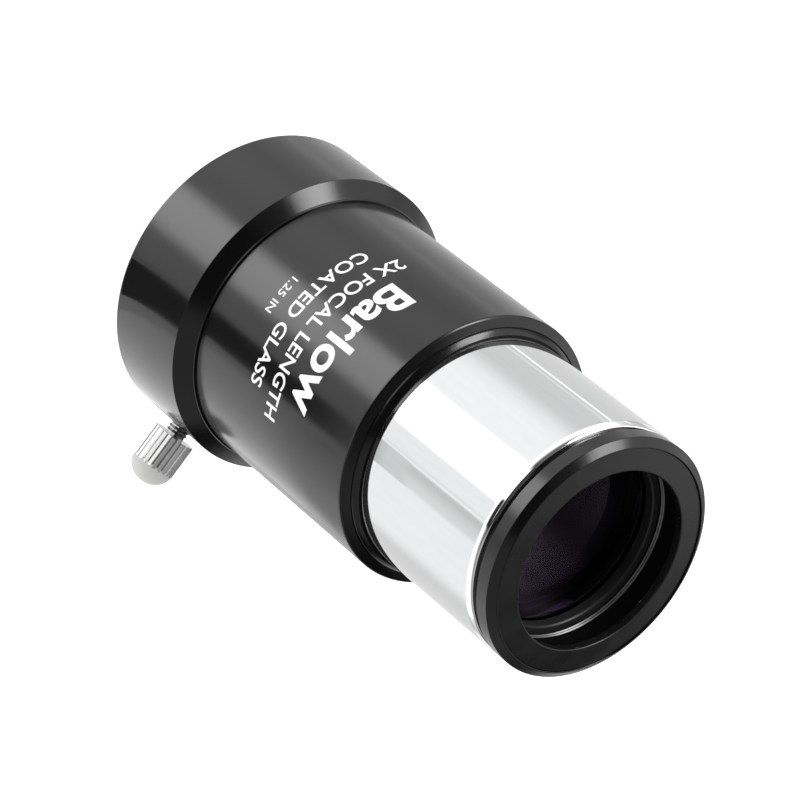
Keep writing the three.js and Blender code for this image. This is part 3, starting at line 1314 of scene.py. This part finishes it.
@dataclass(frozen=True)
class Card:
    """A card laid by the collar that only shows in reflections, fading at its far end.

    Its corners are radius, in millimetres, and azimuth; its fade is two radii.
    """

    name: str
    level: float
    corners: tuple[tuple[float, float], ...]
    fade: tuple[float, float]
    rise: float = 0.5 * MM

    def lay(self, room_level: float) -> None:
        """Lays the card.

        Args:
            room_level: The brightness that it fades to.
        """
        clear_selection()
        bpy.ops.mesh.primitive_circle_add(vertices=4, radius=1, fill_type="NGON")
        card = bpy.context.object
        card.name = self.name
        for vertex, (radius, azimuth) in zip(card.data.vertices, self.corners):
            around = math.radians(azimuth)
            vertex.co = (axis_x() + radius * MM * math.cos(around),
                         radius * MM * math.sin(around), self.rise)
        shader = Shader(self.name)
        shader.set(Base_Color=(0, 0, 0, 1), Roughness=1.0, Specular_IOR_Level=0.0)
        reach = shader.node("VectorMath", shader.centred((axis_x(), 0, 0)), operation="LENGTH")
        glow = shader.remap(reach.outputs["Value"], self.fade[0] * MM, self.fade[1] * MM,
                            self.level, room_level)
        shader.link(glow, shader.surface.inputs["Emission Strength"])
        shader.set(Emission_Color=(1, 1, 1, 1))
        card.data.materials.append(shader.material)
        card.visible_camera = False
        card.visible_diffuse = False
        card.visible_shadow = False
        card.visible_transmission = False


@dataclass
class Studio:
    """A pale floor, soft light from all round, and the camera."""

    distance: float = 427.97 * MM
    azimuth: float = -93.499
    elevation: float = 42.591
    roll: float = -128.96
    field_of_view: float = 12.9
    sensor: float = 36.0
    aim_forward: float = 1.64 * MM
    aim_height: float = 34.87 * MM
    floor_size: float = 6.0
    lower_level: float = 0.86
    upper_level: float = 0.13
    horizon: tuple[float, float] = (-0.14, 0.04)
    glows: tuple[Glow, ...] = (
        Glow(-98, 11, 12, 3.1, -80, -8, 14),
        Glow(-128, 14, 36, 0.42, -80, -20, 14),
        Glow(-68, 6, 6, 0.32, -80, -20, 14),
        Glow(-46, 6, 5, -0.2, -80, -20, 14),
        Glow(-57, 0.7, 0.7, 0.3, -80, -20, 14),
        Glow(-14, 20, 26, 0.34, -80, -20, 14),
        Glow(153, 0.9, 0.7, 0.6, -80, -20, 14),
        Glow(159, 0.5, 0.6, 0.25, -80, -20, 14),
        Glow(-93, 110, 40, 0.3, -27, -3, 10),
        Glow(-72, 8, 5, -6.0, -7, 20, 4),
        Glow(-90, 18, 10, 1.3, -3, 35, 10),
        Glow(92, 9, 12, -0.6, -34, 12, 10),
        Glow(28, 4, 9, -0.45, -34, 12, 10),
        Glow(150, 7, 12, -0.5, -34, 12, 10),
        Glow(-88, 30, 16, -0.1, 15, 75, 14),
        Glow(-170, 7, 9, 9.0, 18, 42, 10),
        Glow(174, 7, 9, 7.0, 38, 60, 10),
        Glow(142, 38, 20, 1.0, 3, 66, 14),
        Glow(64, 16, 12, -0.1, 20, 48, 12),
        Glow(-3, 32, 24, 0.28, 12, 66, 12),
    )
    cards: tuple[Card, ...] = (
        # The dark card is painted shade: a dim sheet that stands for a shadow on the floor beside the
        # collar, seen only in reflections.
        Card("studio_painted_shade_card", 0.12, ((20.4, -72.2), (20.4, -58), (76, -42.2), (76, -60.3)),
             (58, 70)),
        Card("studio_light_card", 1.6, ((20.5, -52), (20.5, -5), (66, 42), (66, -38)), (44, 62)),
    )
    diffuse_level: float = 1.05
    white_level: float = 1.05

    def build(self) -> None:
        """Makes the floor, the cards, the light and the camera."""
        self.lay_floor()
        for card in self.cards:
            card.lay(self.lower_level)
        self.light()
        self.place_camera()

    def lay_floor(self) -> None:
        """Lays a pale floor that glows a little, so that shadows on it are faint."""
        clear_selection()
        bpy.ops.mesh.primitive_plane_add(size=self.floor_size)
        floor = bpy.context.object
        floor.name = "studio_floor"
        shader = Shader("floor_paper")
        shader.set(Base_Color=(0.5, 0.5, 0.5, 1), Roughness=1.0, Emission_Strength=0.93)
        shader.set(Emission_Color=(1, 1, 1, 1), Specular_IOR_Level=0.0)
        floor.data.materials.append(shader.material)
        floor.visible_glossy = False
        floor.visible_diffuse = False
        floor.visible_shadow = False
        floor.visible_transmission = False

    def light(self) -> None:
        """Surrounds the lens with soft light: a pale room, strip lights and dark gaps."""
        world = bpy.data.worlds.new("studio")
        bpy.context.scene.world = world
        world.use_nodes = True
        tree = world.node_tree
        tree.nodes.clear()
        room = RoomLight(tree)
        low, high = self.horizon
        level = room.ramp(room.height, low, high, self.lower_level, self.upper_level)
        for glow in self.glows:
            level = room.add(level, room.glow(glow))
        room.finish(level, self.diffuse_level, self.white_level)

    def place_camera(self) -> None:
        """Aims the camera just in front of the middle of the lens."""
        aim = Vector((axis_x(), -self.aim_forward, self.aim_height))
        around, up = math.radians(self.azimuth), math.radians(self.elevation)
        back = Vector((math.cos(around) * math.cos(up), math.sin(around) * math.cos(up),
                       math.sin(up)))
        data = bpy.data.cameras.new("camera")
        data.sensor_width = self.sensor
        data.lens = self.sensor / 2 / math.tan(math.radians(self.field_of_view / 2))
        data.clip_start, data.clip_end = 0.01, 20.0
        camera = bpy.data.objects.new("camera", data)
        bpy.context.collection.objects.link(camera)
        camera.location = aim + back * self.distance
        level = (-back).to_track_quat("-Z", "Y")
        camera.rotation_mode = "QUATERNION"
        camera.rotation_quaternion = level @ Quaternion((0, 0, 1), math.radians(-self.roll))
        bpy.context.scene.camera = camera


class RoomLight:
    """The world's nodes: how bright the studio is in each direction."""

    def __init__(self, tree: bpy.types.NodeTree) -> None:
        """Reads the direction of each ray.

        Args:
            tree: The world's node tree.
        """
        self.tree = tree
        self.direction = self.node("TexCoord").outputs["Generated"]
        split = self.node("SeparateXYZ", self.direction)
        self.height = split.outputs[2]
        flat = self.node("CombineXYZ", split.outputs[0], split.outputs[1], 0.0).outputs[0]
        self.heading = self.node("VectorMath", flat, operation="NORMALIZE").outputs[0]

    def node(self, kind: str, *sources: object, **settings: object) -> bpy.types.Node:
        """Adds a node.

        Args:
            kind: The node's type, without its ShaderNode prefix.
            sources: What goes into its inputs, in order: a socket or a value.
            settings: The node's own properties.

        Returns:
            The node.
        """
        made = self.tree.nodes.new("ShaderNode" + kind)
        for name, value in settings.items():
            setattr(made, name, value)
        for socket, source in zip(made.inputs, sources):
            if isinstance(source, bpy.types.NodeSocket):
                self.tree.links.new(source, socket)
            else:
                socket.default_value = source
        return made

    def ramp(self, value: bpy.types.NodeSocket, low: float, high: float, to_low: float,
             to_high: float) -> bpy.types.NodeSocket:
        """Returns a soft step from one level to another."""
        return self.node("MapRange", value, low, high, to_low, to_high,
                         interpolation_type="SMOOTHSTEP").outputs[0]

    def add(self, first: bpy.types.NodeSocket, second: bpy.types.NodeSocket
            ) -> bpy.types.NodeSocket:
        """Returns the sum of two levels."""
        return self.node("Math", first, second, operation="ADD").outputs[0]

    def glow(self, glow: Glow) -> bpy.types.NodeSocket:
        """Returns one patch's share of the light.

        Args:
            glow: The patch.

        Returns:
            Its brightness, which is negative for a dark patch.
        """
        around = math.radians(glow.azimuth)
        heading = (math.cos(around), math.sin(around), 0.0)
        near = self.node("VectorMath", self.heading, heading, operation="DOT_PRODUCT")
        outer = math.cos(math.radians(glow.half_width + glow.fade))
        inner = math.cos(math.radians(glow.half_width))
        width = self.ramp(near.outputs["Value"], outer, inner, 0.0, glow.gain)
        foot = [math.sin(math.radians(glow.low + side * glow.soft)) for side in (-0.5, 0.5)]
        head = [math.sin(math.radians(glow.high + side * glow.soft)) for side in (-0.5, 0.5)]
        above = self.ramp(self.height, foot[0], foot[1], 0.0, 1.0)
        below = self.ramp(self.height, head[0], head[1], 1.0, 0.0)
        window = self.node("Math", above, below, operation="MULTIPLY").outputs[0]
        return self.node("Math", width, window, operation="MULTIPLY").outputs[0]

    def finish(self, level: bpy.types.NodeSocket, diffuse_level: float,
               white_level: float) -> None:
        """Lights the scene by a level, and shows plain white behind the lens.

        Args:
            level: The brightness in each direction.
            diffuse_level: The even brightness that matt surfaces are lit by.
            white_level: The brightness behind the lens.
        """
        darkest = 0.02
        held = self.node("Math", level, darkest, operation="MAXIMUM").outputs[0]
        room = self.node("Background", (1, 1, 1, 1), held)
        even = self.node("Background", (1, 1, 1, 1), diffuse_level)
        white = self.node("Background", (1, 1, 1, 1), white_level)
        path = self.node("LightPath")
        lit = self.node("MixShader", path.outputs["Is Diffuse Ray"], room.outputs[0],
                        even.outputs[0])
        mixed = self.node("MixShader", path.outputs["Is Camera Ray"], lit.outputs[0],
                          white.outputs[0])
        output = self.node("OutputWorld")
        self.tree.links.new(mixed.outputs[0], output.inputs["Surface"])


def main() -> None:
    """Builds the lens from its collar up, then the studio round it."""
    logging.basicConfig(level=logging.INFO, format="%(name)s: %(message)s")
    bpy.context.scene.view_settings.view_transform = "Standard"
    centre = axis_x()
    lathe = Lathe(centre)
    barrel = Span.of("main_barrel")
    EyepieceCollar(lathe).build()
    MainBarrel(lathe).build()
    lines = (
        PrintLine("Barlow", 4.75 * MM, 19.8 * MM, 34.5 * MM, 0.03),
        PrintLine("2X FOCAL LENGTH", 2.1 * MM, 26.8 * MM, 30.5 * MM, 0.018),
        PrintLine("COATED GLASS", 2.0 * MM, 21.7 * MM, 26.65 * MM, 0.018),
        PrintLine("1.25 IN", 1.2 * MM, 5.2 * MM, 23.5 * MM, 0.012),
    )
    BarrelPrint(barrel.radius + 0.005 * MM, centre, math.radians(-6), lines).build()
    GlareStop(lathe).build()
    Nosepiece(lathe).build()
    LensCell(lathe).build()
    FrontCap(lathe).build()
    RetainingRing(lathe).build()
    Achromat(lathe).build()
    Thumbscrew(centre).build()
    Studio().build()


if __name__ == "__main__":
    main()
